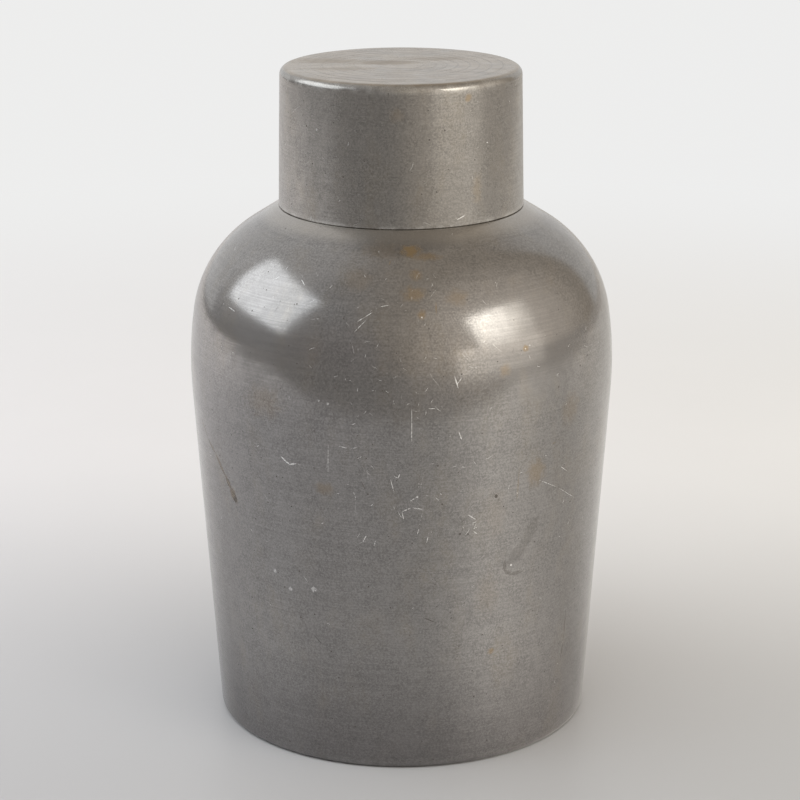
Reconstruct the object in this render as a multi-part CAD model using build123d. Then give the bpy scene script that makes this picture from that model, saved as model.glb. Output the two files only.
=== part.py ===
from build123d import *

import os
from math import cos, radians, sin, tan

# A pewter tea caddy, in millimetres. It stands on the plane Z = 0 with its axis on Z, and every piece
# is turned about that axis. A tapering body is closed by a plug-like inner lid with a knob, and a
# slip-on cap covers the lid and the neck.
total_height = 155.0
wall = 1.8

# Outline of the body, from the foot up: a straight leaning side, a long belly arc, a tight shoulder
# arc, and a straight crown that runs in towards the neck. Angles are in degrees.
foot_radius = 44.1
side_lean = 3.85
side_length = 79.3
belly_arc_radius = 90.0
belly_turn = 12.4
shoulder_arc_radius = 28.6
shoulder_turn = 49.4
foot_rounding = 1.5

# Lap joint between the two castings of the body, close to its widest place
seam_height = 84.0
lap_height = 3.0

# Base plate, dropped in from above onto the inward step of the foot ring
foot_step_height = 1.6
foot_opening_radius = 40.4
base_radius = 42.0
base_thickness = 2.0
base_dish_radius = 39.0
base_dish_depth = 0.7

# Seat of the cap on the shoulder, and the rim of metal under it that holds the neck
seat_height = 122.9
seat_rounding = 0.25
rim_underside = 119.5

# Neck collar
neck_radius = 26.2
neck_wall = 1.6
neck_top = 142.4
neck_rounding = 0.5

# Inner lid: a flange on the neck, a hollow plug inside it, and a low boss under the knob
lid_flange_radius = 25.9
lid_flange_thickness = 1.6
lid_boss_radius = 19.5
lid_boss_height = 0.7
lid_rounding = 0.5
plug_clearance = 0.06
plug_depth = 6.0
plug_wall = 1.4

# Knob of the inner lid, riveted through it
knob_height = 6.9
knob_button_radius = 6.2
knob_button_height = 4.6
knob_waist_radius = 2.5
knob_waist_height = 2.2
knob_foot_radius = 4.6
tenon_radius = 2.0
rivet_head_radius = 3.4
rivet_head_height = 0.7

# Cap: a sleeve with a little draft, closed by a flat top
cap_clearance = 0.10
cap_lip_radius = 28.4
cap_top_radius = 27.75
cap_top_thickness = 2.0
cap_edge_rounding = 1.8
cap_lip_rounding = 0.35
cap_inner_rounding = 1.2
cap_lead_in = 0.4

lean = radians(side_lean)
widest_radius = foot_radius + side_length * sin(lean) + belly_arc_radius * (1 - cos(lean))
base_top = foot_step_height + base_thickness
neck_bore = neck_radius - neck_wall
flange_top = neck_top + lid_flange_thickness
lid_top = flange_top + lid_boss_height


def turned(half_section):
    """The solid that a half section in the XZ plane sweeps in one turn about Z."""
    return revolve(Plane.XZ * half_section, axis=Axis.Z)


def half_section(*corners):
    """A closed straight-sided half section, from its (radius, height) corners in order."""
    return make_face(Polyline(*corners, close=True))


def corners_at(section, *places):
    """The corners of a half section nearest to the given (radius, height) places."""
    return [section.vertices().sort_by_distance(place)[0] for place in places]


def disc(radius, bottom, top):
    """A plain cylinder about Z between two heights."""
    return turned(half_section((0, bottom), (radius, bottom), (radius, top), (0, top)))


def rim(shape, height):
    """The outermost circle of a turned shape at a height."""
    circles = shape.edges().filter_by(GeomType.CIRCLE)
    return circles.filter_by_position(Axis.Z, height, height).sort_by(SortBy.RADIUS)[-1]


def body_form(inset):
    """The form of the body, closed to a point at the top, with its surface moved inwards by inset."""
    start = (foot_radius - inset / cos(lean), 0)
    side = PolarLine(start, side_length + inset * tan(lean), angle=90 - side_lean)
    belly = JernArc(side @ 1, side % 1, belly_arc_radius - inset, belly_turn)
    shoulder_arc = JernArc(belly @ 1, belly % 1, shoulder_arc_radius - inset, shoulder_turn)
    crown_start, slope = shoulder_arc @ 1, shoulder_arc % 1
    apex = (0, crown_start.Y - crown_start.X * slope.Y / slope.X)
    closing = Polyline(crown_start, apex, (0, 0), start)
    return turned(make_face([side, belly, shoulder_arc, closing]))


def body_shell():
    """Both castings of the body as one hollow turning, open at the foot and at the neck."""
    outside = body_form(0) & disc(2 * foot_radius, 0, seat_height)
    outside = fillet(rim(outside, 0), foot_rounding)
    outside = fillet(rim(outside, seat_height), seat_rounding)
    hollow = body_form(wall) & disc(2 * foot_radius, base_top, rim_underside)
    foot_opening = disc(foot_opening_radius, 0, foot_step_height)
    base_seat = disc(base_radius, foot_step_height, base_top)
    neck_opening = disc(neck_radius, rim_underside, seat_height)
    return outside - hollow - foot_opening - base_seat - neck_opening


def lower_space():
    """All the space of the lower casting: below the seam, and inside the lap above it."""
    wide, low = 2 * foot_radius, -wall
    lap_radius = widest_radius - wall / 2
    lap_top = seam_height + lap_height
    below_seam = [(0, low), (wide, low), (wide, seam_height), (lap_radius, seam_height)]
    return turned(half_section(*below_seam, (lap_radius, lap_top), (0, lap_top)))


def neck_collar():
    """The upright ring soldered into the shoulder. The cap slides over it and the inner lid plugs it."""
    foot = [(neck_bore, rim_underside), (neck_radius, rim_underside)]
    mouth = [(neck_radius, neck_top), (neck_bore, neck_top)]
    section = half_section(*foot, *mouth)
    return turned(fillet(corners_at(section, *mouth), neck_rounding))


def base_plate():
    """A disc whose underside is dished, so that the caddy stands on its foot ring alone."""
    dish_top = (0, foot_step_height + base_dish_depth)
    dish_edge = (base_dish_radius, foot_step_height)
    rim_foot, rim_top = (base_radius, foot_step_height), (base_radius, base_top)
    plate = Polyline(dish_edge, rim_foot, rim_top, (0, base_top), dish_top)
    dish = TangentArc(dish_top, dish_edge, tangent=(1, 0))
    return turned(make_face([plate, dish]))


def inner_lid():
    """A flanged plug, hollow from below, with a hole for the tenon of the knob."""
    plug_radius = neck_bore - plug_clearance
    hollow_radius = plug_radius - plug_wall
    plug_bottom = neck_top - plug_depth
    underside = [(tenon_radius, neck_top), (hollow_radius, neck_top)]
    plug = [(hollow_radius, plug_bottom), (plug_radius, plug_bottom), (plug_radius, neck_top)]
    flange = [(lid_flange_radius, neck_top), (lid_flange_radius, flange_top)]
    boss = [(lid_boss_radius, flange_top), (lid_boss_radius, lid_top), (tenon_radius, lid_top)]
    section = half_section(*underside, *plug, *flange, *boss)
    rounded = corners_at(section, underside[1], plug[1], flange[1], boss[1])
    return turned(fillet(rounded, lid_rounding))


def inner_lid_knob():
    """A button on a waist above the lid, and a tenon through the lid with a rivet head below."""
    knob_top = (0, lid_top + knob_height)
    button_edge = (knob_button_radius, lid_top + knob_button_height)
    waist = (knob_waist_radius, lid_top + knob_waist_height)
    foot_edge = (knob_foot_radius, lid_top)
    head_edge = (rivet_head_radius, neck_top)
    head_bottom = (0, neck_top - rivet_head_height)
    crown = TangentArc(knob_top, button_edge, tangent=(1, 0))
    under_button = TangentArc(waist, button_edge, tangent=(0, 1))
    flare = TangentArc(waist, foot_edge, tangent=(0, -1))
    tenon = Polyline(foot_edge, (tenon_radius, lid_top), (tenon_radius, neck_top), head_edge)
    head = TangentArc(head_bottom, head_edge, tangent=(1, 0))
    axis = Line(head_bottom, knob_top)
    return turned(make_face([crown, under_button, flare, tenon, head, axis]))


def cap():
    """A drafted sleeve with a flat top, bored to slide over the neck and to rest on the shoulder."""
    bore = neck_radius + cap_clearance
    ceiling = total_height - cap_top_thickness
    inner_corner, inner_lip = (bore, ceiling), (bore, seat_height)
    outer_lip, top_edge = (cap_lip_radius, seat_height), (cap_top_radius, total_height)
    section = half_section((0, ceiling), inner_corner, inner_lip, outer_lip, top_edge, (0, total_height))
    section = fillet(corners_at(section, top_edge), cap_edge_rounding)
    section = fillet(corners_at(section, outer_lip), cap_lip_rounding)
    section = fillet(corners_at(section, inner_corner), cap_inner_rounding)
    section = chamfer(corners_at(section, inner_lip), cap_lead_in)
    return turned(section)


shell = body_shell()
pieces = {
    "body_wall": shell & lower_space(),
    "shoulder": shell - lower_space(),
    "neck_collar": neck_collar(),
    "base_plate": base_plate(),
    "inner_lid": inner_lid(),
    "inner_lid_knob": inner_lid_knob(),
    "cap": cap(),
}

os.makedirs("parts", exist_ok=True)
for name, piece in pieces.items():
    export_step(piece, f"parts/{name}.step")
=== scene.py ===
import math

import bpy
import numpy as np
from mathutils import Matrix, Vector, noise


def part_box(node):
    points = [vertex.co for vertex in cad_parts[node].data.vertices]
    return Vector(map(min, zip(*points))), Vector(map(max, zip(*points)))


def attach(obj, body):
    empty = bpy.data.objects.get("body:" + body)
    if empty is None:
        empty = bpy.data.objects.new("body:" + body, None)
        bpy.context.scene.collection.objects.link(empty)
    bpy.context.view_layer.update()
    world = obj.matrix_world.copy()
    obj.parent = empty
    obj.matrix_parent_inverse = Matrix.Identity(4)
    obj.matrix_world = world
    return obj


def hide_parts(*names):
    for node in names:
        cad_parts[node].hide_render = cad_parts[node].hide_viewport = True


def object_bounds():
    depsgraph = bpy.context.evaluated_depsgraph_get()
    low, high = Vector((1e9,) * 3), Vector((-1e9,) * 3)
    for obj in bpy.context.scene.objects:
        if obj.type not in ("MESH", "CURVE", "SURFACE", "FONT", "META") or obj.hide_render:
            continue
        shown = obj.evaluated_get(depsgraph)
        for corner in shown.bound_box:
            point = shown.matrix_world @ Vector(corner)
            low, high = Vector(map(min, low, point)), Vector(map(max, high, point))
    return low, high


# An old pewter tea caddy. Every piece is lathed again from the half section of its CAD node, with finer
# steps, eased edges and the slow waves and dents of hand-turned, used metal.
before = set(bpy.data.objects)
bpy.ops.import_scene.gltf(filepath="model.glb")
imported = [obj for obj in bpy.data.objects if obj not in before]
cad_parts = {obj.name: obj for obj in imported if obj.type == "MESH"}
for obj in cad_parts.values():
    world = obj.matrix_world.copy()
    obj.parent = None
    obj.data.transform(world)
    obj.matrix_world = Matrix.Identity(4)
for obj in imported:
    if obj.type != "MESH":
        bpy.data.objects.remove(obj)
cad_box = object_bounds()

MM = 0.001
# Vertices round a lathed piece
TURNS = 320
# A corner that turns by more degrees than this is an edge, not part of a bend.
SHARP_TURN = 20.0
# How much of each side of an edge is cut away, and the first step beside a flush corner, in mm
EASED_EDGE = 0.12
FLUSH_STEP = 0.04
# The height of the whole caddy, in mm
TOP = cad_box[1][2] / MM

# ---------------------------------------------------------------- half sections of the CAD nodes


def half_section(node):
    """Corners (radius, height) in mm of a turned node's half section, in order, the metal on the left."""
    corners = {}
    for vertex in node.data.vertices:
        x, y, z = vertex.co / MM
        if abs(y) < 1e-3 and x > -1e-3:
            corners[vertex.index] = (abs(round(x, 3)), abs(round(z, 3)))
    links = {corner: set() for corner in corners.values()}

    def link(a, b):
        links.setdefault(a, set()).add(b)
        links.setdefault(b, set()).add(a)

    for edge in node.data.edges:
        a, b = (corners.get(index) for index in edge.vertices)
        if a and b and a != b:
            link(a, b)
    # A level face has no edge in the section, so its two ends are joined, or its one end and the axis.
    heights = {}
    for corner, near in links.items():
        if len(near) == 1 and corner[0] > 0.01:
            heights.setdefault(corner[1], []).append(corner)
    for height, ends in heights.items():
        ends.sort()
        if len(ends) % 2:
            ends.insert(0, (0.0, height))
        for a, b in zip(ends[::2], ends[1::2]):
            link(a, b)

    path = [min(links)]
    while True:
        ahead = [corner for corner in links[path[-1]] if corner not in path[-2:]]
        if not ahead or ahead[0] == path[0]:
            break
        path.append(ahead[0])
    section = np.array(path)
    r, z = section.T
    if np.sum(r * np.roll(z, -1) - np.roll(r, -1) * z) < 0:
        section = section[::-1]
    return section


def turn_at(before, here, after):
    """The signed change of direction at a corner, in radians, positive to the left."""
    a, b = here - before, after - here
    return math.atan2(a[0] * b[1] - a[1] * b[0], a @ b)


def bend_of(section, i, closed):
    """The curvature of the side from corner i to the next, as far as its neighbours tell it."""
    n = len(section)
    p, q = section[i], section[(i + 1) % n]
    length = np.linalg.norm(q - p)
    bends = []
    for here, beyond in ((i, i - 1), ((i + 1) % n, i + 2)):
        if not closed and not 0 <= beyond < n:
            continue
        corner, far = section[here], section[beyond % n]
        near = q if here == i else p
        reach = np.linalg.norm(far - corner)
        turn = turn_at(far, corner, near) if here == i else turn_at(near, corner, far)
        if abs(math.degrees(turn)) > SHARP_TURN:
            continue
        bends.append(2 * turn / (length + reach) if length <= 1.5 * reach else 0.0)
    if not bends or min(bends) * max(bends) <= 0:
        return 0.0
    return min(bends, key=abs)


def drawn(section, step, flush=()):
    """The section in finer steps: gentle bends drawn as arcs, and edges eased unless they are flush."""
    closed = section[0][0] > 0.01 or section[-1][0] > 0.01
    n = len(section)
    out = []
    for i in range(n):
        here, after = section[i], section[(i + 1) % n]
        inner = closed or 0 < i < n - 1
        turn = turn_at(section[i - 1], here, after) if inner else 0.0
        if abs(math.degrees(turn)) > SHARP_TURN and tuple(here.round(3)) not in flush:
            back, ahead = section[i - 1] - here, after - here
            room = 0.3 * min(np.linalg.norm(back), np.linalg.norm(ahead))
            ease = min(EASED_EDGE, room)
            a = here + back / np.linalg.norm(back) * ease
            b = here + ahead / np.linalg.norm(ahead) * ease
            out += [a, (a + b + 2 * here) / 4, b]
            start = b
        else:
            out.append(here)
            start = here
        if i == n - 1 and not closed:
            break
        bend = bend_of(section, i, closed)
        chord = after - here
        length = np.linalg.norm(chord)
        normal = np.array((chord[1], -chord[0])) / length
        count = max(math.ceil(length / step), 2 if bend else 1)
        # Close to a flush corner the side already runs as it does beyond, so that the seam doesn't show.
        close = FLUSH_STEP / length
        shares = [close] if tuple(here.round(3)) in flush else []
        even = np.arange(1, count) / count
        shares += [t for t in even if EASED_EDGE < t * length < length - EASED_EDGE]
        shares += [1 - close] if tuple(after.round(3)) in flush else []
        for t in shares:
            point = here + chord * t + normal * bend / 2 * length**2 * t * (1 - t)
            if np.linalg.norm(point - start) > 0.01:
                out.append(point)
    return np.array(out), closed


def wear_along(section, closed, flush):
    """From 0 to 1 along a section, how worn it is: most on outward corners that stand free."""
    spread = 0.6
    before = np.roll(section, 1, axis=0)
    after = np.roll(section, -1, axis=0)
    turns = np.array([turn_at(a, b, c) for a, b, c in zip(before, section, after)])
    reach = (np.linalg.norm(section - before, axis=1) + np.linalg.norm(after - section, axis=1)) / 2
    if not closed:
        turns[[0, -1]] = 0
    turns[[tuple(corner.round(3)) in flush for corner in section]] = 0
    raw = np.clip(turns / reach * 0.8, 0, 1)
    gaps = np.linalg.norm(section[:, None] - section[None], axis=2)
    return np.clip((raw[None] * np.exp(-((gaps / spread) ** 2))).max(axis=1), 0, 1)


# ---------------------------------------------------------------- lathed pieces


def on_side(angle, height, radius):
    """The place in mm at an angle from the front (positive to the right), a height and a radius."""
    a = math.radians(angle)
    return Vector((radius * math.sin(a), -radius * math.cos(a), height))


# Shallow dents: place, width and depth in mm. The first two make the photo's dent, the others are made up.
BODY_DENTS = [
    (on_side(29.5, 47.5, 47.4), 3.2, 0.32),
    (on_side(34.5, 49.0, 47.5), 3.4, 0.18),
    (on_side(-28.0, 104.0, 46.9), 7.0, 0.12),
    (on_side(62.0, 76.0, 49.2), 6.0, 0.16),
    (on_side(118.0, 58.0, 48.0), 7.5, 0.30),
    (on_side(-142.0, 88.0, 49.6), 6.0, 0.26),
    (on_side(-104.0, 34.0, 46.4), 5.0, 0.20),
    (on_side(168.0, 30.0, 46.1), 4.0, 0.22),
    (on_side(-12.0, 6.5, 44.5), 6.0, 0.10),
]
CAP_DENTS = [
    (Vector((9.0, 6.0, TOP)), 4.0, 0.07),
    (on_side(-150.0, 140.0, 28.0), 4.5, 0.16),
    (on_side(96.0, 150.0, 27.8), 2.5, 0.12),
]


def hand_made(dents, swell):
    """A function from places in mm to how far the metal there lies off a true turning, in mm."""

    def offset(places):
        offsets = np.empty(len(places))
        for i, place in enumerate(places):
            place = Vector(place)
            slow = noise.noise(place / 24.0) * 0.9 + noise.noise(place / 9.0 + Vector((7, 3, 1))) * 0.22
            offsets[i] = swell * slow
        for at, wide, deep in dents:
            gaps = ((places - np.array(at)) ** 2).sum(axis=1)
            offsets -= deep * np.exp(-gaps / wide**2)
        return offsets

    return offset


def side_normals(section, closed):
    """The outward direction at each point of a section; on an edge, that of the side facing out more."""
    ahead = np.roll(section, -1, axis=0) - section
    if not closed:
        ahead[-1] = (-1, 0)
    ahead = np.stack((ahead[:, 1], -ahead[:, 0]), axis=1)
    ahead /= np.linalg.norm(ahead, axis=1)[:, None]
    back = np.roll(ahead, 1, axis=0)
    if not closed:
        back[0] = (0, -1)
    normals = ahead + back
    sharp = (ahead * back).sum(axis=1) < math.cos(math.radians(SHARP_TURN))
    outer = np.where((ahead[:, 0] > back[:, 0])[:, None], ahead, back)
    normals[sharp] = outer[sharp]
    return normals / np.linalg.norm(normals, axis=1)[:, None]


def lathe(name, section, closed, body, shape=None, exposed=None, flush=()):
    """A mesh turned from a drawn section, moved along its normals by shape where exposed says so."""
    n = len(section)
    normals = side_normals(section, closed)

    angles = np.arange(TURNS) / TURNS * 2 * math.pi
    blocks, rings, count = [], [], 0
    for (r, z), (nr, nz) in zip(section, normals):
        around = angles if r > 1e-3 else angles[:1]
        c, s = np.cos(around), np.sin(around)
        block = np.stack((r * c, r * s, np.full(len(around), z)), axis=1)
        share = exposed(r, z, nr, nz) if exposed else 0.0
        if share > 0:
            way = np.stack((nr * c, nr * s, np.full(len(around), nz)), axis=1)
            block += way * (shape(block) * share)[:, None]
        blocks.append(block)
        rings.append(np.arange(count, count + len(around)))
        count += len(around)
    faces = []
    for i in range(n if closed else n - 1):
        low, high = rings[i], rings[(i + 1) % n]
        if len(low) == 1:
            faces += [(low[0], b, a) for a, b in zip(high, np.roll(high, -1))]
        elif len(high) == 1:
            faces += [(a, b, high[0]) for a, b in zip(low, np.roll(low, -1))]
        else:
            faces += np.stack((low, np.roll(low, -1), np.roll(high, -1), high), axis=1).tolist()

    mesh = bpy.data.meshes.new(name)
    mesh.from_pydata((np.concatenate(blocks) * MM).tolist(), [], faces)
    worn = wear_along(section, closed, flush)
    wear = np.concatenate([np.full(len(ring), used) for ring, used in zip(rings, worn)])
    mesh.attributes.new("wear", "FLOAT", "POINT").data.foreach_set("value", wear)
    mesh.shade_smooth()
    mesh.set_sharp_from_angle(angle=math.radians(SHARP_TURN + 5))
    mesh.update()
    piece = bpy.data.objects.new(name, mesh)
    bpy.context.scene.collection.objects.link(piece)
    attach(piece, body)
    return piece


def fade(value, start, end):
    """0 at start, 1 at end, and smooth between them."""
    t = min(max((value - start) / (end - start), 0), 1)
    return t * t * (3 - 2 * t)


# ---------------------------------------------------------------- shader graphs


class Graph:
    """The nodes of one material, light or world, built a value at a time."""

    def __init__(self, name, tree=None):
        self.material = bpy.data.materials.new(name) if tree is None else None
        if self.material:
            self.material.use_nodes = True
            tree = self.material.node_tree
        self.tree = tree
        self.tree.nodes.clear()

    def node(self, kind, inputs=(), **settings):
        """A new node with its settings, and its inputs set to values or linked to sockets."""
        made = self.tree.nodes.new("ShaderNode" + kind)
        for key, value in settings.items():
            setattr(made, key, value)
        for key, value in dict(inputs).items():
            self.feed(made.inputs[key], value)
        return made

    def feed(self, socket, value):
        if isinstance(value, bpy.types.NodeSocket):
            self.tree.links.new(value, socket)
        elif hasattr(value, "__len__") and socket.type == "RGBA" and len(value) == 3:
            socket.default_value = (*value, 1.0)
        else:
            socket.default_value = value

    def attribute(self, name):
        return self.node("Attribute", attribute_name=name).outputs["Vector"]

    def math(self, operation, a, b=0.0, c=0.0, clamp=False):
        made = self.node("Math", {0: a, 1: b, 2: c}, operation=operation, use_clamp=clamp)
        return made.outputs[0]

    def vector(self, operation, a, b=(0, 0, 0), scale=None):
        made = self.node("VectorMath", {0: a, 1: b}, operation=operation)
        if scale is not None:
            self.feed(made.inputs["Scale"], scale)
        return made.outputs["Value" if operation in ("LENGTH", "DOT_PRODUCT") else "Vector"]

    def noise(self, place, size, detail=2.0, roughness=0.5, distortion=0.0, shift=0.0):
        """Noise about 0.5, with features of about size mm."""
        if shift:
            place = self.vector("ADD", place, (shift, 2 * shift, -shift))
        inputs = {
            "Vector": place,
            "Scale": 1.0 / size,
            "Detail": detail,
            "Roughness": roughness,
            "Distortion": distortion,
        }
        return self.node("TexNoise", inputs).outputs[0]

    def ramp(self, value, low, high, start=0.0, end=1.0):
        """From start to end, smoothly, while value goes from low to high."""
        inputs = {"Value": value, "From Min": low, "From Max": high, "To Min": start, "To Max": end}
        return self.node("MapRange", inputs, interpolation_type="SMOOTHSTEP").outputs[0]

    def between(self, share, a, b):
        """The number a where share is 0, and b where it is 1."""
        return self.node("Mix", {"Factor": share, "A": a, "B": b}, data_type="FLOAT").outputs[0]

    def mix(self, share, a, b, blend="MIX"):
        """The colour a where share is 0, and b, or a blended with b, where it is 1."""
        made = self.node("Mix", data_type="RGBA", blend_type=blend, clamp_factor=True)
        self.feed(made.inputs[0], share)
        self.feed(made.inputs[6], a)
        self.feed(made.inputs[7], b)
        return made.outputs[2]

    def combine(self, x=0.0, y=0.0, z=0.0):
        return self.node("CombineXYZ", {0: x, 1: y, 2: z}).outputs[0]

    def most(self, values):
        """The greatest of some values. They come one at a time, so that few are held at once."""
        total = None
        for value in values:
            total = value if total is None else self.math("MAXIMUM", total, value)
        return total


def shaded(tone, *shares):
    """The tone with its channels scaled, by one share for all or by one for each."""
    if len(shares) == 1:
        shares = shares * 3
    return tuple(channel * share for channel, share in zip(tone, shares))


class Surface:
    """Where a point of a turned piece is, in mm: place, distance from the axis, angle and unrolled place."""

    def __init__(self, g, radius):
        self.place = g.vector("SCALE", g.node("TexCoord").outputs["Object"], scale=1 / MM)
        x, self.y, self.z = g.node("SeparateXYZ", {0: self.place}).outputs
        self.out = g.vector("LENGTH", g.combine(x, self.y))
        self.angle = g.math("ARCTAN2", x, g.math("MULTIPLY", self.y, -1.0))
        # Unrolled, a point moves up as it nears the axis, so that the shoulder and the top spread out too.
        around = g.math("MULTIPLY", self.angle, radius)
        self.flat = g.combine(around, g.math("MULTIPLY_ADD", self.out, -0.6, self.z))


def strokes(g, flat, cell, length, width, share, seed, bend=0.25):
    """Short random scratches, sizes in mm, one in each cell that share lets through, at its own angle."""
    shifted = g.vector("ADD", flat, (seed * 13.7, seed * 7.1, 0))
    pattern = {"Vector": shifted, "Scale": 1 / cell, "Randomness": 0.85}
    cells = g.node("TexVoronoi", pattern, voronoi_dimensions="2D")
    away = g.vector("SUBTRACT", shifted, cells.outputs["Position"])
    chance = g.node("SeparateColor", {0: cells.outputs["Color"]}).outputs
    angle = g.math("MULTIPLY", chance[0], 2 * math.pi)
    turned = g.node("VectorRotate", {"Vector": away, "Angle": angle}, rotation_type="Z_AXIS").outputs[0]
    parts = g.node("SeparateXYZ", {0: turned}).outputs
    reach = g.math("MULTIPLY", g.math("ADD", chance[1], 0.35), length / 1.35)
    along = g.math("DIVIDE", g.math("ABSOLUTE", parts[0]), reach)
    bow = g.math("MULTIPLY", g.math("MULTIPLY", parts[0], parts[0]), bend / length)
    across = g.math("ABSOLUTE", g.math("ADD", parts[1], bow))
    # The stroke thins out towards its ends.
    half = g.math("MULTIPLY", g.math("SUBTRACT", 1.0, g.math("MULTIPLY", along, along)), width)
    inside = g.ramp(g.math("SUBTRACT", half, across), 0.0, 0.6 * width)
    picked = g.math("LESS_THAN", chance[2], share)
    # The shorter ones are fainter too.
    picked = g.math("MULTIPLY", picked, g.ramp(chance[1], 0.0, 1.0, 0.3, 1.0))
    return g.math("MULTIPLY", g.math("MULTIPLY", inside, picked), g.ramp(along, 1.0, 0.8))


def dots(g, place, cell, size, share, seed):
    """Random round specks of up to size mm, one in each cell that share lets through."""
    shifted = g.vector("ADD", place, (seed * 5.3, seed * 3.9, seed * 2.7))
    cells = g.node("TexVoronoi", {"Vector": shifted, "Scale": 1 / cell, "Randomness": 0.9})
    chance = g.node("SeparateColor", {0: cells.outputs["Color"]}).outputs
    size = g.math("MULTIPLY", g.math("ADD", chance[0], 0.3), size / 1.3)
    away = g.vector("LENGTH", g.vector("SUBTRACT", shifted, cells.outputs["Position"]))
    inside = g.ramp(g.math("DIVIDE", away, size), 1.1, 0.6)
    return g.math("MULTIPLY", inside, g.math("LESS_THAN", chance[2], share))


def placed_strokes(g, name):
    """The placed scratches of one layer of vertex data (across, along, strength), with their edges at 1."""
    across, along, strength = g.node("SeparateXYZ", {0: g.attribute(name)}).outputs
    inside = g.math("SUBTRACT", 1.0, g.math("MULTIPLY", along, along))
    inside = g.math("SUBTRACT", inside, g.math("ABSOLUTE", across))
    return g.math("MULTIPLY", g.ramp(inside, 0.0, 0.5), strength)


def placed_blots(g, name, ragged):
    """The placed stains of one layer of vertex data (across, up, strength), with their edges near 1."""
    layer = g.attribute(name)
    strength = g.node("SeparateXYZ", {0: layer}).outputs[2]
    away = g.vector("LENGTH", g.vector("MULTIPLY", layer, (1, 1, 0)))
    return g.math("MULTIPLY", g.ramp(g.math("ADD", away, ragged), 1.2, 0.25), strength)


# ---------------------------------------------------------------- marks of use
#
# A mark's place is its angle from the front in degrees, positive to the right, and its height in mm.
# Those past 90 degrees are behind, out of the photo's sight, and made up.

# Typical radii, in mm, at which the sides are unrolled for the random marks
BODY_RADIUS = 48.0
CAP_RADIUS = 28.0

# Half width in mm, the scratch's path, and its strength where it isn't 1
LIGHT_SCRATCHES = [
    (0.15, [(13.5, 95), (14.5, 92)]),
    (0.10, [(15.5, 94.5), (14, 93)]),
    (0.09, [(2.5, 89), (2.5, 81)]),
    (0.14, [(2.5, 83.5), (2.5, 80.5)]),
    (0.10, [(6.5, 88), (8.5, 88)]),
    (0.13, [(14.5, 82.5), (15.5, 80)]),
    (0.22, [(-33, 74.5), (-31.5, 73.5), (-30.5, 73), (-28.5, 73.5)]),
    (0.06, [(-19, 80), (-19.5, 71)]),
    (0.07, [(-16.5, 79), (-13.5, 78.5), (-11, 79)]),
    (0.12, [(-2, 72.5), (-1, 72), (-0.5, 73)]),
    (0.08, [(-3, 72), (-2, 68.5)]),
    (0.12, [(2, 66.5), (4, 67.5)]),
    (0.12, [(0, 64), (2.5, 65), (5.5, 64.5)]),
    (0.10, [(0, 64), (0.5, 62)]),
    (0.13, [(17.5, 62.5), (20, 61)]),
    (0.10, [(19, 58.5), (20.5, 57.5)]),
    (0.09, [(4.5, 60), (4, 58.5)]),
    (0.12, [(7, 58), (6.5, 56.5)]),
    (0.18, [(-9.5, 58), (-10.5, 56.5)]),
    (0.08, [(-7, 57), (-7.5, 55.5)]),
    (0.06, [(38.5, 68), (46.5, 64.5), (56, 59.5)]),
    (0.09, [(47, 69.5), (50.5, 67.5)]),
    (0.08, [(-3, 110), (-6.5, 109.5)]),
    (0.09, [(-8, 108.5), (-10, 107.5), (-12, 106.5)]),
    (0.08, [(-9.5, 107), (-13, 104)]),
    (0.11, [(-32, 113.5), (-30, 112.5)]),
    (0.11, [(-56, 105), (-52, 104.5)]),
]
DARK_SCRATCHES = [
    (0.12, [(5, 38.5), (10, 36.5)]),
    (0.11, [(-25.5, 32), (-23, 30)]),
    (0.22, [(55.5, 32.5), (55.5, 24), (54.5, 19.5)], 0.7),
    (0.20, [(-10.5, 71), (-9.5, 69)], 0.6),
    # The bruised rim of the dent, and the smear running up from it
    (0.60, [(29.3, 49.5), (29.5, 47.2), (31.5, 46), (35, 46.2)], 0.50),
    (2.10, [(31.5, 49.5), (35, 52.5), (39, 58)], 0.26),
]
# Angle, height, size in mm, and strength and stretch where they aren't 1
SCUFF = (0.5, (1, 1))
LIGHT_SPECKS = [
    (-21.5, 89, 0.40, *SCUFF),
    (-19, 88.5, 0.45, *SCUFF),
    (-32.5, 42.5, 0.70, *SCUFF),
    (-25, 43.5, 0.90, *SCUFF),
    (-37.5, 46, 0.60, *SCUFF),
    (31.5, 48.3, 0.30),
    (4, 67.5, 0.26),
    (5.5, 107.5, 0.24),
    (34, 99, 0.22),
]
# Brown stains: angle, height, size in mm, strength, stretch of the pattern
STAINS = [
    (3.5, 119.5, 2.2, 1.0, (0.8, 1)),
    (9, 118.5, 1.4, 0.6, (0.4, 1)),
    (4.5, 115.5, 1.7, 0.6, (1, 1)),
    (3.5, 112, 2.1, 0.6, (0.7, 1)),
    (5.5, 108, 1.2, 0.7, (1, 1)),
    (-7, 119.5, 3.2, 0.25, (0.6, 1)),
    (-13.5, 114.5, 3.2, 0.20, (0.8, 1)),
    (16, 111, 2.2, 0.35, (0.8, 1)),
    (27.5, 95, 1.7, 0.40, (1, 1)),
    (34, 99, 0.9, 0.80, (1, 1)),
    (50, 82.5, 3.6, 0.25, (1, 0.8)),
    (-38, 86.5, 4.2, 0.20, (0.7, 1)),
    (38, 70, 3.0, 0.40, (1, 0.8)),
    (-20.5, 68.5, 1.8, 0.35, (0.7, 1)),
    (25.5, 62, 3.2, 0.10, (1, 0.45)),
    (24, 42, 3.4, 0.12, (1, 0.6)),
    (26, 28, 1.0, 0.60, (1, 1)),
    (-96, 101, 2.8, 0.45, (1, 1)),
    (132, 74, 2.4, 0.45, (1, 0.6)),
    (171, 110, 2.6, 0.45, (0.8, 1)),
    (-160, 44, 2.0, 0.45, (1, 1)),
    (96, 30, 1.8, 0.45, (1, 1)),
]
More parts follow.
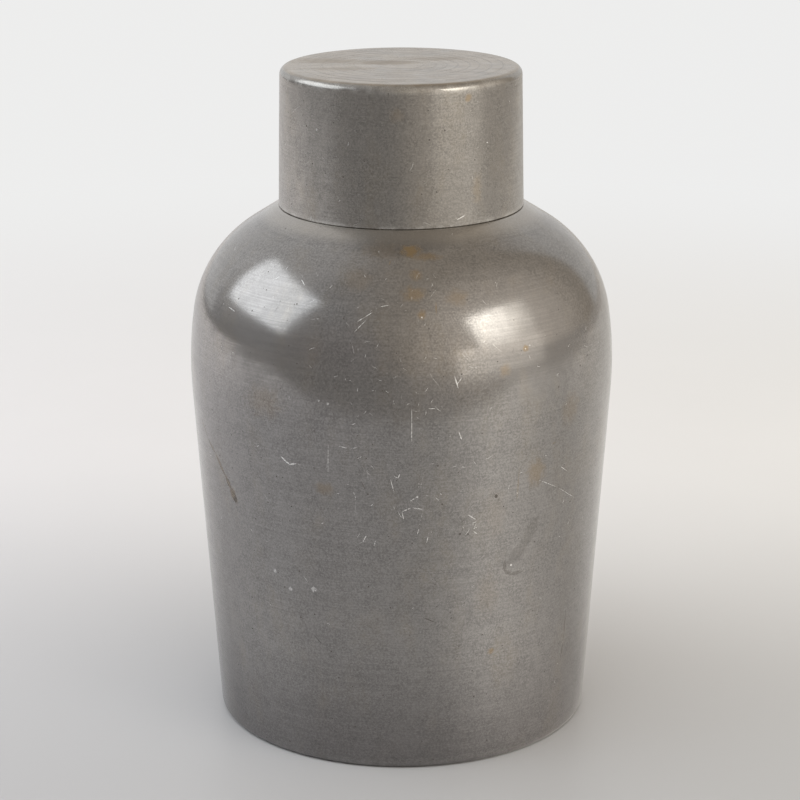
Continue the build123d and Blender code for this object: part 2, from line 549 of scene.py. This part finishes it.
# Dark spots: angle, height and size in mm
DARK_SPOTS = [
    (25.5, 66, 0.55),
    (15.5, 58, 0.34),
    (10.5, 65.5, 0.30),
    (-52, 60.5, 1.00),
    (121, 92, 0.5),
    (-128, 63, 0.6),
]
# A dried drip on the left, from its thin start to its end
DRIP = [(-70, 76), (-65.5, 72), (-61, 69.5), (-56, 65), (-53.5, 62.5), (-52, 60.5)]
DRIP_WIDTHS = [0.22, 0.32, 0.48, 0.80, 1.20]
DRIP_STRENGTH = 0.55

# The same on the cap
CAP_LIGHT_SCRATCHES = [(0.13, [(25.5, 124.5), (30.5, 125.5)])]
CAP_LIGHT_SPECKS = [(-42, 144, 0.22), (43, 141, 0.20), (60.5, 149, 0.18)]
CAP_STAINS = [
    (32, 151.5, 1.0, 0.60, (1, 1)),
    (36.5, 131, 1.6, 0.25, (1, 0.4)),
    (-2, 148.5, 1.8, 0.20, (1, 1)),
]
# On the flat top of the cap: x, y and size in mm, strength, stretch
CAP_TOP_STAINS = [
    (-3.5, 3.5, 5.0, 0.60, (0.5, 1.3)),
    (-17, 6.5, 5.5, 0.50, (0.5, 1.3)),
    (-13, -5, 4.5, 0.40, (0.5, 1.5)),
    (8, 9, 5.0, 0.35, (0.5, 1.5)),
]
# Layers of vertex data for the marks of each kind; marks close together need layers of their own.
LAYERS = {"light": 6, "dark": 5, "stain": 4}
# What a layer holds where there is no mark
FAR_AWAY = 99.0
# Vertices count as near a mark within this share of its size and these distances in mm, flat and in depth.
NEAR_SHARE = 1.3
NEAR_REACH = 1.3
NEAR_DEPTH = 0.9


class Outside:
    """The outermost line of some half sections, to place marks on."""

    def __init__(self, *sections):
        self.heights = np.arange(0.0, TOP + 1.0, 0.25)
        self.radii = np.zeros(len(self.heights))
        for section in sections:
            for (r0, z0), (r1, z1) in zip(section, np.roll(section, -1, axis=0)):
                if z0 > z1:
                    r0, z0, r1, z1 = r1, z1, r0, z0
                inside = (self.heights >= z0 - 1e-6) & (self.heights <= z1 + 1e-6) & (z1 > z0)
                radii = r0 + (r1 - r0) * (self.heights - z0) / max(z1 - z0, 1e-6)
                self.radii = np.where(inside, np.maximum(self.radii, radii), self.radii)

    def radius(self, height):
        return float(np.interp(height, self.heights, self.radii))

    def place(self, angle, height):
        """The place in mm at an angle from the front and a height, with the directions round and up there."""
        a = math.radians(angle)
        slope = self.radius(height + 0.5) - self.radius(height - 0.5)
        radial = np.array((math.sin(a), -math.cos(a), 0))
        around = np.array((math.cos(a), math.sin(a), 0))
        up = radial * slope + np.array((0, 0, 1))
        place = radial * self.radius(height) + np.array((0, 0, height))
        return place, around, up / np.linalg.norm(up)


def scratch_marks(outside, scratches):
    """For each segment: place, direction across, direction along, half width, half length and strength."""
    for width, path, *rest in scratches:
        strength = rest[0] if rest else 1.0
        for start, end in zip(path, path[1:]):
            (a, around, up), (b, _, _) = outside.place(*start), outside.place(*end)
            along = (b - a) / np.linalg.norm(b - a)
            across = np.cross(np.cross(around, up), along)
            yield (a + b) / 2, across, along, width, np.linalg.norm(b - a) / 2 + width, strength


def spot_marks(outside, spots):
    """The same of each spot on the side."""
    for angle, height, size, *rest in spots:
        strength, stretch = rest or (1.0, (1, 1))
        place, around, up = outside.place(angle, height)
        yield place, around, up, size / stretch[0], size / stretch[1], strength


def top_marks(spots, height):
    """The same of each spot on a flat top at a height."""
    x_way, y_way = np.array((1.0, 0, 0)), np.array((0, 1.0, 0))
    for x, y, size, strength, stretch in spots:
        yield np.array((x, y, height)), x_way, y_way, size / stretch[0], size / stretch[1], strength


def lay_marks(mesh, kinds):
    """Writes each mark's own coordinates to the vertices round it, in the first layer with room for it."""
    places = np.empty(len(mesh.vertices) * 3)
    mesh.vertices.foreach_get("co", places)
    places = places.reshape(-1, 3) / MM
    for kind, marks in kinds.items():
        layers = [np.full((len(places), 3), FAR_AWAY) for _ in range(LAYERS[kind])]
        for layer in layers:
            layer[:, 2] = 0.0
        for at, across, along, half_width, half_length, strength in marks:
            away = places - at
            x, y, off = away @ across, away @ along, away @ np.cross(across, along)
            near = abs(x) < half_width * NEAR_SHARE + NEAR_REACH
            near &= abs(y) < half_length * NEAR_SHARE + NEAR_REACH
            near &= abs(off) < NEAR_DEPTH
            free = [layer for layer in layers if not np.any(layer[near, 0] < FAR_AWAY)]
            if free and np.any(near):
                values = (x[near] / half_width, y[near] / half_length, np.full(near.sum(), strength))
                free[0][near] = np.stack(values, axis=1)
            elif np.any(near):
                print("no layer left for a mark of kind", kind, "at", at.round(1))
        for i, layer in enumerate(layers):
            attribute = mesh.attributes.new(f"{kind}_{i}", "FLOAT_VECTOR", "POINT")
            attribute.data.foreach_set("vector", layer.ravel())


# ---------------------------------------------------------------- pewter

# Where the shoulder is polished smooth, in mm
POLISHED = ((-28, -34, 103), (28, -36, 100))
# The middle of the scratched part of the front, in mm
SCRATCHED = (0, -49, 84)
# Radii in mm of the lines turned into the top of the cap
GROOVES = (5.2, 8.1, 10.6, 13.0, 15.8, 18.0, 20.8, 23.4)


def patina(g, at, tone, aged):
    """The metal's colour under slow clouds, mottling and a fine grain, and the noises that make it."""
    clouds = g.noise(at.place, 26.0, 3, 0.55, 0.6)
    mottle = g.noise(at.place, 3.2, 4, 0.6, 0.3, shift=40)
    grain = g.noise(at.place, 0.45, 3, 0.7, shift=80)
    blotch = g.noise(g.vector("MULTIPLY", at.place, (1, 1, 0.35)), 7.0, 3, 0.6, shift=120)
    colour = g.mix(g.ramp(clouds, 0.3, 0.7), shaded(tone, 0.90), shaded(tone, 1.04))
    colour = g.mix(g.ramp(blotch, 0.45, 0.75, 0, 0.8), colour, shaded(tone, 1.06, 0.99, 0.86))
    colour = g.mix(g.ramp(mottle, 0.32, 0.68, 0, 0.66 * aged), colour, shaded(tone, 0.68))
    # The grain is even on both sides of the shoulder, where the photo has its smooth highlights.
    gaps = [g.vector("LENGTH", g.vector("SUBTRACT", at.place, middle)) for middle in POLISHED]
    even = g.ramp(g.math("MINIMUM", *gaps), 18.0, 8.0, 0.0, 0.75)
    grainy = g.between(even, g.ramp(grain, 0.34, 0.66, 0, 0.80 * aged), 0.40 * aged)
    return g.mix(grainy, colour, shaded(tone, 1.37)), mottle, grain, blotch


def turning_marks(g, at, level):
    """Fine and coarse lines round the axis, on the side by height and on level faces by radius."""
    track = g.between(level, at.z, at.out)
    wobble = g.math("MULTIPLY", at.angle, 0.35)
    fine = g.noise(g.combine(wobble, 0.0, track), 0.32, 3, 0.7)
    coarse = g.noise(g.combine(wobble, 5.0, track), 1.5, 2, 0.5, shift=9)
    return fine, coarse


def marks_of_use(g, at, grain, spread, marked, busy, aged):
    """Light scratches, dark pits and scratches, and stains: random ones, and the placed ones if marked."""
    # They are thick in the middle of the front, thin elsewhere and hardly there near the foot.
    from_middle = g.vector("MULTIPLY", g.vector("SUBTRACT", at.place, SCRATCHED), (1.0, 0.3, 0.8))
    often = g.ramp(g.vector("LENGTH", from_middle), 34.0, 6.0, 0.05, busy)
    often = g.math("MAXIMUM", often, g.ramp(at.y, 0.0, 30.0, 0.0, 0.14))
    often = g.math("MULTIPLY", often, g.ramp(at.z, 22, 46, 0.15, 1.0))
    share = g.math("MULTIPLY", often, g.ramp(spread, 0.38, 0.62, 0.1, 1.9))
    ragged = g.math("SUBTRACT", g.noise(at.place, 1.3, 3, 0.6, shift=300), 0.5)
    ragged = g.math("MULTIPLY", ragged, 1.3)
    broken = g.ramp(grain, 0.36, 0.56, 0.25, 1.0)

    def layers(kind):
        return [f"{kind}_{i}" for i in range(LAYERS[kind] if marked else 0)]

    def light_marks():
        yield strokes(g, at.flat, 2.6, 0.7, 0.050, share, 1, bend=0.15)
        yield g.math("MULTIPLY", strokes(g, at.flat, 4.1, 1.4, 0.050, share, 2, bend=0.3), 0.85)
        yield g.math("MULTIPLY", strokes(g, at.flat, 7.3, 2.8, 0.045, share, 3, bend=0.1), 0.55)
        yield g.math("MULTIPLY", dots(g, at.place, 3.4, 0.17, 0.10, 1), 0.7)
        for layer in layers("light"):
            yield placed_strokes(g, layer)

    def dark_marks():
        yield dots(g, at.place, 1.7, 0.25, 0.42 * aged, 2)
        yield g.math("MULTIPLY", strokes(g, at.flat, 3.3, 1.2, 0.060, share, 4, bend=0.1), 0.7)
        for layer in layers("dark"):
            yield placed_strokes(g, layer)

    def stain_marks():
        yield g.math("MULTIPLY", dots(g, at.place, 7.5, 0.35, 0.10, 3), 0.5)
        for layer in layers("stain"):
            yield placed_blots(g, layer, ragged)

    light = g.math("MULTIPLY", g.most(light_marks()), broken)
    return light, g.most(dark_marks()), g.most(stain_marks())


def surface_roughness(g, rough, mottle, fine, scuffed, marks):
    """Duller where the patina is thick, in scratches and on stains, and uneven where scuffed."""
    roughness = g.ramp(mottle, 0.3, 0.7, rough - 0.02, rough + 0.03)
    roughness = g.math("ADD", roughness, g.ramp(fine, 0.3, 0.7, -0.01, 0.02))
    if scuffed:
        roughness = g.math("MULTIPLY_ADD", scuffed, g.ramp(mottle, 0.35, 0.65, -0.05, 0.03), roughness)
    return g.math("MULTIPLY_ADD", marks, 0.2, roughness, clamp=True)


def relief(g, at, fine, coarse, grain, rings):
    """The height of the turning lines, of a slight orange peel and of the grain."""
    height = g.math("MULTIPLY", fine, 0.07 + 0.25 * rings)
    height = g.math("MULTIPLY_ADD", coarse, 0.08 + 0.6 * rings, height)
    height = g.math("MULTIPLY_ADD", g.noise(at.place, 1.1, 2, 0.5, shift=500), 0.22, height)
    height = g.math("MULTIPLY_ADD", g.noise(at.place, 4.5, 2, 0.5, shift=600), 0.5, height)
    return g.math("MULTIPLY_ADD", grain, 0.10, height)


def grooved_top(g, at, colour, height, level, spread, blotch, grain, stain):
    """The colour and height of the cap with the tarnish and the turned grooves of its level top."""
    gaps = (g.math("ABSOLUTE", g.math("SUBTRACT", at.out, radius)) for radius in GROOVES)
    grooves = g.most(g.ramp(gap, 0.34, 0.05) for gap in gaps)
    grooves = g.math("MULTIPLY", g.math("MULTIPLY", grooves, level), g.ramp(spread, 0.35, 0.6, 0.4, 1.0))
    height = g.math("MULTIPLY_ADD", grooves, -3.5, height)
    veil = g.math("MULTIPLY", level, g.ramp(blotch, 0.25, 0.6, 0.45, 1.0))
    # Tarnish left in patches where the top was wiped
    patches = g.noise(g.vector("MULTIPLY", at.place, (0.45, 1.0, 1.0)), 3.4, 5, 0.62, 0.4, shift=700)
    veiled = g.mix(g.ramp(patches, 0.34, 0.66), (0.320, 0.268, 0.212), (0.468, 0.410, 0.340))
    veiled = g.mix(g.ramp(grain, 0.3, 0.7, 0.0, 0.6), veiled, (0.30, 0.265, 0.225))
    colour = g.mix(veil, colour, veiled)
    colour = g.mix(g.math("MULTIPLY", stain, level), colour, (0.29, 0.235, 0.175))
    return g.mix(g.math("MULTIPLY", grooves, 0.45), colour, (0.16, 0.14, 0.12)), height


def pewter(
    name, slot, tone, radius, rough=0.16, busy=0.10, rings=0.0, bright=0.0, aged=1.0, marked=False, cap=False
):
    """Old cast pewter: metal under a thin patina, with its turning marks, scratches, pits and stains.

    busy is how thick the scratches are in the middle of the front, rings how deep the turning marks are,
    bright how far the metal is clean, and aged how strong its mottling and grain are. Only marked pewter has
    placed marks.
    """
    g = Graph(name)
    at = Surface(g, radius)
    wear = g.node("Attribute", attribute_name="wear").outputs["Fac"]
    colour, mottle, grain, blotch = patina(g, at, tone, aged)

    upward = g.node("SeparateXYZ", {0: g.node("NewGeometry").outputs["Normal"]}).outputs[2]
    level = g.ramp(g.math("ABSOLUTE", upward), 0.7, 0.95)
    fine, coarse = turning_marks(g, at, level)
    colour = g.mix(g.ramp(fine, 0.35, 0.7, 0, 0.33), colour, shaded(tone, 0.66))
    # The metal is darker towards the foot, from 34 mm down.
    colour = g.mix(g.ramp(at.z, 34.0, 0.0, 0, 0.9), colour, (0.66, 0.65, 0.66), "MULTIPLY")

    spread = g.noise(at.place, 14.0, 2, shift=200)
    light, dark, stain = marks_of_use(g, at, grain, spread, marked, busy, aged)

    # Rubbed edges are brighter, with a broken outline.
    rubbed = g.math("MULTIPLY", wear, g.ramp(mottle, 0.40, 0.62, 0.0, 1.0), clamp=True)
    colour = g.mix(g.math("MULTIPLY", rubbed, 0.9 if cap else 0.3), colour, (0.50, 0.49, 0.47))
    if slot == "body_pewter":
        # Painted light: the shoulder just below the cap's lip is painted lighter, lifting the dark reflection
        # of the cap there.
        colour = g.mix(g.ramp(at.z, 119.5, 122.0, 0.0, 0.55), colour, (0.50, 0.47, 0.43))
    colour = g.mix(stain, colour, shaded(tone, 1.05, 0.80, 0.48))
    colour = g.mix(g.math("MULTIPLY", dark, 0.80), colour, (0.07, 0.06, 0.05))
    colour = g.mix(light, colour, (0.86, 0.86, 0.85))
    if bright:
        colour = g.mix(bright, colour, (0.54, 0.53, 0.51))

    # The rounded edge of the cap is scuffed.
    scuffed = g.math("MULTIPLY", g.ramp(upward, 0.03, 0.3), g.ramp(upward, 0.95, 0.8)) if cap else None
    roughness = surface_roughness(g, rough, mottle, fine, scuffed, g.math("MAXIMUM", light, stain))
    metal = g.math("MULTIPLY_ADD", dark, -0.5, g.math("MULTIPLY_ADD", stain, -0.1, 0.91))
    metal = g.math("MULTIPLY_ADD", light, -0.35, metal, clamp=True)
    height = relief(g, at, fine, coarse, grain, rings)
    if cap:
        colour, height = grooved_top(g, at, colour, height, level, spread, blotch, grain, stain)
    bump = g.node("Bump", {"Strength": 1.0, "Distance": 0.012 * MM, "Height": height})

    shader = g.node("BsdfPrincipled", {
        "Base Color": colour,
        "Metallic": metal,
        "Roughness": roughness,
        "Anisotropic": 0.12,
        "Anisotropic Rotation": 0.25,
        "Normal": bump.outputs[0],
        "Tangent": g.node("Tangent", direction_type="RADIAL", axis="Z").outputs[0],
    })
    g.node("OutputMaterial", {"Surface": shader.outputs[0]})
    g.material["slot"] = slot
    return g.material


# ---------------------------------------------------------------- the caddy

sections = {name: half_section(node) for name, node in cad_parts.items()}

body_outside = Outside(sections["body_wall"], sections["shoulder"])
cap_outside = Outside(sections["cap"])

seam_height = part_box("shoulder")[0][2] / MM
seat_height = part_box("cap")[0][2] / MM


# Each of these says how far a point of a section, with its outward direction, takes part in waves and dents.


def body_side(r, z, nr, nz):
    """The outside of the two castings, fading out at the foot and under the cap."""
    if nr < 0.01 or (z > seam_height + 0.01 and r < body_outside.radius(z) - 0.4):
        return 0.0
    return fade(z, 0.5, 6.0) * fade(z, seat_height - 0.2, seat_height - 5.0)


def cap_side(r, z, nr, nz):
    """The outside and the top of the cap, fading out at the lip."""
    if nr < 0.01 and z < TOP - 0.5:
        return 0.0
    return fade(z, seat_height + 0.4, seat_height + 5.0)


def lid_top(r, z, nr, nz):
    """The faces of the inner lid that look up, at half strength."""
    return 0.5 if nz > 0.5 else 0.0


BODY_TONE = (0.285, 0.2755, 0.269)
CAP_TONE = (0.300, 0.288, 0.273)
INNER_TONE = (0.42, 0.41, 0.395)
BASE_TONE = (0.27, 0.255, 0.24)
body_pewter = pewter("body_pewter", "body_pewter", BODY_TONE, BODY_RADIUS, busy=0.34, marked=True)
cap_pewter = pewter(
    "cap_pewter", "cap_pewter", CAP_TONE, CAP_RADIUS, rough=0.235, rings=0.3, marked=True, cap=True
)
inner_pewter = pewter(
    "inner_pewter", "inner_pewter", INNER_TONE, CAP_RADIUS, rough=0.27, rings=0.6, bright=0.60, aged=0.3
)
base_pewter = pewter("base_pewter", "body_pewter", BASE_TONE, BODY_RADIUS, rough=0.36, rings=1.0, aged=0.7)

dented_body = hand_made(BODY_DENTS, 0.05)
dented_cap = hand_made(CAP_DENTS, 0.035)
PIECES = {
    # node: (body, step in mm, material, shape, where it is exposed)
    "body_wall": ("body", 1.0, body_pewter, dented_body, body_side),
    "shoulder": ("body", 0.9, body_pewter, dented_body, body_side),
    "neck_collar": ("body", 1.0, inner_pewter, None, None),
    "base_plate": ("body", 1.0, base_pewter, None, None),
    "inner_lid": ("inner_lid", 0.8, inner_pewter, hand_made([], 0.03), lid_top),
    "inner_lid_knob": ("inner_lid", 0.4, inner_pewter, None, None),
    "cap": ("cap", 0.7, cap_pewter, dented_cap, cap_side),
}
# A corner that two pieces share is a flush seam, and stays as it is.
owners = {}
for name, section in sections.items():
    for corner in {tuple(corner) for corner in section}:
        owners.setdefault(corner, set()).add(name)
flush = {corner for corner, names in owners.items() if len(names) > 1}

drip = [(width, path, DRIP_STRENGTH) for width, path in zip(DRIP_WIDTHS, zip(DRIP, DRIP[1:]))]
body_kinds = {
    "light": [*scratch_marks(body_outside, LIGHT_SCRATCHES), *spot_marks(body_outside, LIGHT_SPECKS)],
    "dark": [*scratch_marks(body_outside, [*DARK_SCRATCHES, *drip]), *spot_marks(body_outside, DARK_SPOTS)],
    "stain": [*spot_marks(body_outside, STAINS), *scratch_marks(body_outside, drip)],
}
cap_kinds = {
    "light": [*scratch_marks(cap_outside, CAP_LIGHT_SCRATCHES), *spot_marks(cap_outside, CAP_LIGHT_SPECKS)],
    "dark": [],
    "stain": [*spot_marks(cap_outside, CAP_STAINS), *top_marks(CAP_TOP_STAINS, TOP)],
}
marks_on = {"body_wall": body_kinds, "shoulder": body_kinds, "cap": cap_kinds}

for name, (body, step, material, shape, exposed) in PIECES.items():
    section, closed = drawn(sections[name], step, flush)
    piece = lathe(name + "_turned", section, closed, body, shape, exposed, flush)
    if name in marks_on:
        lay_marks(piece.data, marks_on[name])
    piece.data.materials.append(material)
    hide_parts(name)

# ---------------------------------------------------------------- the studio

# Where the sheet ends in the metal, in mm: start and end of the soft edge
SHEET_LEFT = (-960.0, -1000.0)
SHEET_RIGHT = (630.0, 650.0)
SHEET_FRONT = (-310.0, -318.0)
# Where the sheet fades into the backdrop for the camera, in mm from the axis
SHEET_FADE = (200.0, 620.0)
BACKDROP = (0.85, 0.85, 0.845)


def make_floor():
    """A pale sheet that the caddy stands on, a little glossy, greyer towards the front with painted shade."""
    reach, grid = 2.4, 24
    row = grid + 1
    along = [(i / grid - 0.5) * 2 * reach for i in range(row)]
    vertices = [(x, y, 0.0) for y in along for x in along]
    faces = [
        (j * row + i, j * row + i + 1, (j + 1) * row + i + 1, (j + 1) * row + i)
        for j in range(grid) for i in range(grid)
    ]
    mesh = bpy.data.meshes.new("floor")
    mesh.from_pydata(vertices, [], faces)
    floor = bpy.data.objects.new("floor", mesh)
    bpy.context.scene.collection.objects.link(floor)
    g = Graph("floor")
    place = g.vector("SCALE", g.node("TexCoord").outputs["Object"], scale=1 / MM)
    x, y, _ = g.node("SeparateXYZ", {0: place}).outputs
    # Painted shade: the sheet is greyer towards the front, standing in for the light falling off there.
    colour = g.mix(g.ramp(y, -80.0, 200.0), (0.49, 0.495, 0.50), (0.83, 0.83, 0.83))
    colour = g.mix(g.ramp(g.noise(place, 60.0, 4), 0.3, 0.7, 0.0, 0.03), colour, (0.5, 0.5, 0.5))
    # Painted light: the sheet is tinted cooler on the left and warmer on the right, like the lamps' light.
    tint = g.mix(g.ramp(x, -300.0, 300.0), (0.975, 0.965, 1.0), (1.0, 0.985, 0.955))
    colour = g.mix(1.0, colour, tint, "MULTIPLY")
    bump = g.node("Bump", {"Strength": 0.3, "Distance": 0.1 * MM, "Height": g.noise(place, 3.0, 4)})
    sheet = g.node("BsdfPrincipled", {"Base Color": colour, "Roughness": 0.42, "Normal": bump.outputs[0]})
    # Painted sheen: in the metal the sheet glows brighter towards the right softbox, by its angle from the
    # front in radians.
    mirrored = g.node("LightPath").outputs["Is Glossy Ray"]
    g.feed(sheet.inputs["Emission Color"], (1.0, 0.94, 0.86))
    angle = g.math("ARCTAN2", x, g.math("MULTIPLY", y, -1.0))
    near_lamp = g.math("MULTIPLY", g.ramp(angle, 0.10, 0.85), g.ramp(angle, 1.75, 0.95, 0.35, 1.0))
    near_lamp = g.math("MULTIPLY", near_lamp, g.ramp(angle, 2.9, 2.0))
    # The painted glow goes on out to its side edges.
    outer = g.math("MAXIMUM", g.ramp(x, 250.0, 600.0, 0.0, 0.13), g.ramp(x, -150.0, -600.0, 0.0, 0.22))
    glare = g.math("ADD", g.math("MULTIPLY", near_lamp, 0.32), outer)
    g.feed(sheet.inputs["Emission Strength"], g.math("MULTIPLY", glare, mirrored))
    # Painted reflection: beyond its edges, beside and in front of the caddy, the sheet shows the metal a
    # dimmer room, as a glow of its own.
    room_colour = g.mix(g.ramp(x, -200.0, 400.0), (0.35, 0.335, 0.32), (0.62, 0.57, 0.51))
    room = g.node("Emission", {"Color": room_colour})
    off_side = g.math("MAXIMUM", g.ramp(x, *SHEET_LEFT), g.ramp(x, *SHEET_RIGHT))
    off_front = g.ramp(y, *SHEET_FRONT)
    beyond = g.math("MULTIPLY", g.math("MAXIMUM", off_side, off_front), mirrored)
    shader = g.node("MixShader", {0: beyond, 1: sheet.outputs[0], 2: room.outputs[0]})
    # To the camera the sheet fades into the backdrop, away from the caddy.
    seen = g.node("LightPath").outputs["Is Camera Ray"]
    far = g.math("MULTIPLY", g.ramp(g.vector("LENGTH", g.combine(x, y)), *SHEET_FADE), seen)
    backdrop = g.node("Emission", {"Color": BACKDROP})
    shader = g.node("MixShader", {0: far, 1: shader.outputs[0], 2: backdrop.outputs[0]})
    g.node("OutputMaterial", {"Surface": shader.outputs[0]})
    mesh.materials.append(g.material)


def heading(angle, rise):
    """The direction at an angle from the front, positive to the right, and a rise, in degrees."""
    a, e = math.radians(angle), math.radians(rise)
    return Vector((math.sin(a) * math.cos(e), -math.cos(a) * math.cos(e), math.sin(e)))


def make_room():
    """Plain surroundings: dim in front, brighter to the right and high on the left, with a pale backdrop."""
    world = bpy.data.worlds.new("room")
    bpy.context.scene.world = world
    world.use_nodes = True
    g = Graph("room", world.node_tree)
    way = g.node("TexCoord").outputs["Generated"]
    x, y, z = g.node("SeparateXYZ", {0: way}).outputs

    def glow(angle, rise, wide):
        """1 in a direction, falling to 0 at wide degrees from it."""
        near = g.vector("DOT_PRODUCT", way, tuple(heading(angle, rise)))
        return g.ramp(near, math.cos(math.radians(wide)), 1.0)

    colour = g.mix(g.ramp(x, -0.7, 0.2), (0.435, 0.43, 0.43), (0.49, 0.43, 0.355))
    colour = g.mix(glow(-40, 0, 40), colour, (0.37, 0.35, 0.34))
    colour = g.mix(glow(-112, 13, 25), colour, (0.36, 0.355, 0.355))
    colour = g.mix(glow(-120, 40, 46), colour, (0.74, 0.73, 0.72))
    colour = g.mix(glow(62, 10, 68), colour, (1.05, 0.95, 0.83))
    # The backdrop reaches a little further round on the left.
    side = g.math("MAXIMUM", x, g.math("MULTIPLY", x, -0.82))
    beside = g.ramp(g.math("DIVIDE", side, g.math("MAXIMUM", y, 0.001)), 1.08, 0.98)
    behind = g.math("MULTIPLY", beside, g.ramp(z, 0.90, 0.5))
    colour = g.mix(behind, colour, g.mix(g.ramp(x, -0.3, 0.6), (0.82, 0.82, 0.82), (0.72, 0.70, 0.67)))
    seen = g.node("LightPath").outputs["Is Camera Ray"]
    colour = g.mix(seen, colour, BACKDROP)
    g.node("OutputWorld", {"Surface": g.node("Background", {"Color": colour}).outputs[0]})


def lamp_from(name, angle, rise, distance, size, radiance, tint, target, dim=0.0, low_dim=0.0):
    """A rectangular area light of a given radiance, at an angle, rise and distance in m, facing its target.

    A lamp on the right is dimmer by dim at its end away from the camera, and then by low_dim at its foot.
    """
    way = heading(angle, rise)
    light = bpy.data.lights.new(name, "AREA")
    light.shape = "RECTANGLE"
    light.size, light.size_y = size
    light.energy = radiance * math.pi * size[0] * size[1]
    light.color = tint
    if dim:
        light.use_nodes = True
        g = Graph(name, light.node_tree)
        across, up, _ = g.node("SeparateXYZ", {0: g.node("NewGeometry").outputs["Parametric"]}).outputs
        strength = g.ramp(across, 0.25, 1.0, 1.0, 1.0 - dim)
        strength = g.math("MULTIPLY", strength, g.ramp(up, 0.05, 0.55, 1.0 - low_dim, 1.0))
        g.node("OutputLight", {"Surface": g.node("Emission", {"Strength": strength}).outputs[0]})
    lamp = bpy.data.objects.new(name, light)
    lamp.location = Vector(target) + way * distance
    lamp.rotation_euler = way.to_track_quat("Z", "Y").to_euler()
    bpy.context.scene.collection.objects.link(lamp)
    return lamp


# The photo's camera, fitted to the caddy's outline: place in m, downward tilt and roll in degrees, lens in mm
CAMERA_PLACE = (-0.00038, -0.55897, 0.24506)
CAMERA_TILT = 16.919
CAMERA_ROLL = -0.126
CAMERA_LENS = 110.55
SENSOR_WIDTH = 36.0


def make_camera():
    """The photograph's view: a long lens, from a little above."""
    data = bpy.data.cameras.new("camera")
    data.lens = CAMERA_LENS
    data.sensor_width = SENSOR_WIDTH
    data.clip_start = 0.01
    camera = bpy.data.objects.new("camera", data)
    tilt = Matrix.Rotation(math.radians(90 - CAMERA_TILT), 4, "X")
    roll = Matrix.Rotation(math.radians(CAMERA_ROLL), 4, "Z")
    camera.matrix_world = Matrix.Translation(CAMERA_PLACE) @ (tilt @ roll)
    bpy.context.scene.collection.objects.link(camera)
    bpy.context.scene.camera = camera


# The lamps' targets, in m: a point by the left and one by the right of the shoulder, and one behind the caddy
LEFT_TARGET = (-0.03, -0.03, 0.10)
RIGHT_TARGET = (0.02, -0.04, 0.10)
BACK_TARGET = (0, 0.1, 0)

make_floor()
make_room()
lamp_from("left_softbox", -92, 31.3, 0.90, (0.88, 0.54), 1.74, (0.90, 0.955, 1.0), LEFT_TARGET)
lamp_from(
    "right_softbox", 61, 22.0, 0.90, (0.60, 0.46), 3.1, (1.0, 0.975, 0.895), RIGHT_TARGET,
    dim=0.80, low_dim=0.55,
)
lamp_from("low_panel", 56, 1.2, 0.95, (0.95, 0.24), 0.82, (1.0, 0.95, 0.86), RIGHT_TARGET, dim=0.3)
overhead = lamp_from("overhead", -12, 58, 1.4, (1.8, 1.0), 1.5, (0.90, 0.95, 1.0), BACK_TARGET)
# It only lights the floor and the dull parts, and doesn't show in the metal.
overhead.visible_glossy = False
make_camera()
bpy.context.scene.view_settings.view_transform = "Standard"
